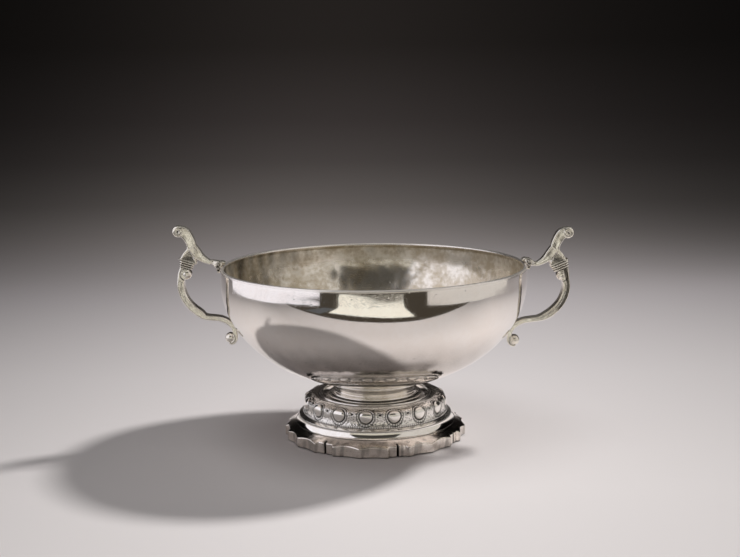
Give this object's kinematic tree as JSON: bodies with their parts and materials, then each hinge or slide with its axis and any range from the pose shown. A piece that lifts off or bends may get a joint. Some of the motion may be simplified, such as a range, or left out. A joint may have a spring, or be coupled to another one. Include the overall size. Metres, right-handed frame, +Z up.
{
  "type": "silver wedding cup",
  "caption": "Footed round silver cup with two cast double-scroll handles, a moulded foot with a frieze of oval bosses and a contoured base band.",
  "frame": {"origin": "centre of the foot on the table, on the cup's axis", "axes": "+Z up along the cup's axis, +X towards the right handle, -Y towards the picture's viewer"},
  "size_m": [0.1896, 0.145, 0.1022],
  "materials": {
    "raised_silver": "hand-hammered silver, polished outside, warm tarnish inside",
    "foot_silver": "turned silver mouldings, polished, dark tarnish in the hollows",
    "chased_silver": "chased and punched silver with a dark matted ground",
    "band_silver": "worn satin silver with a polished upper edge",
    "cast_silver": "cast silver, polished on the edges, warm tarnish on the flat sides"
  },
  "bodies": {
    "root": {"bowl": "raised_silver", "neck": "foot_silver", "frieze_ring": "chased_silver", "foot_skirt": "foot_silver", "base_band": "band_silver", "left_rim_lug": "cast_silver", "left_thumb_scroll": "cast_silver", "left_knop": "cast_silver", "left_c_scroll": "cast_silver", "right_rim_lug": "cast_silver", "right_thumb_scroll": "cast_silver", "right_knop": "cast_silver", "right_c_scroll": "cast_silver"}
  },
  "joints": []
}
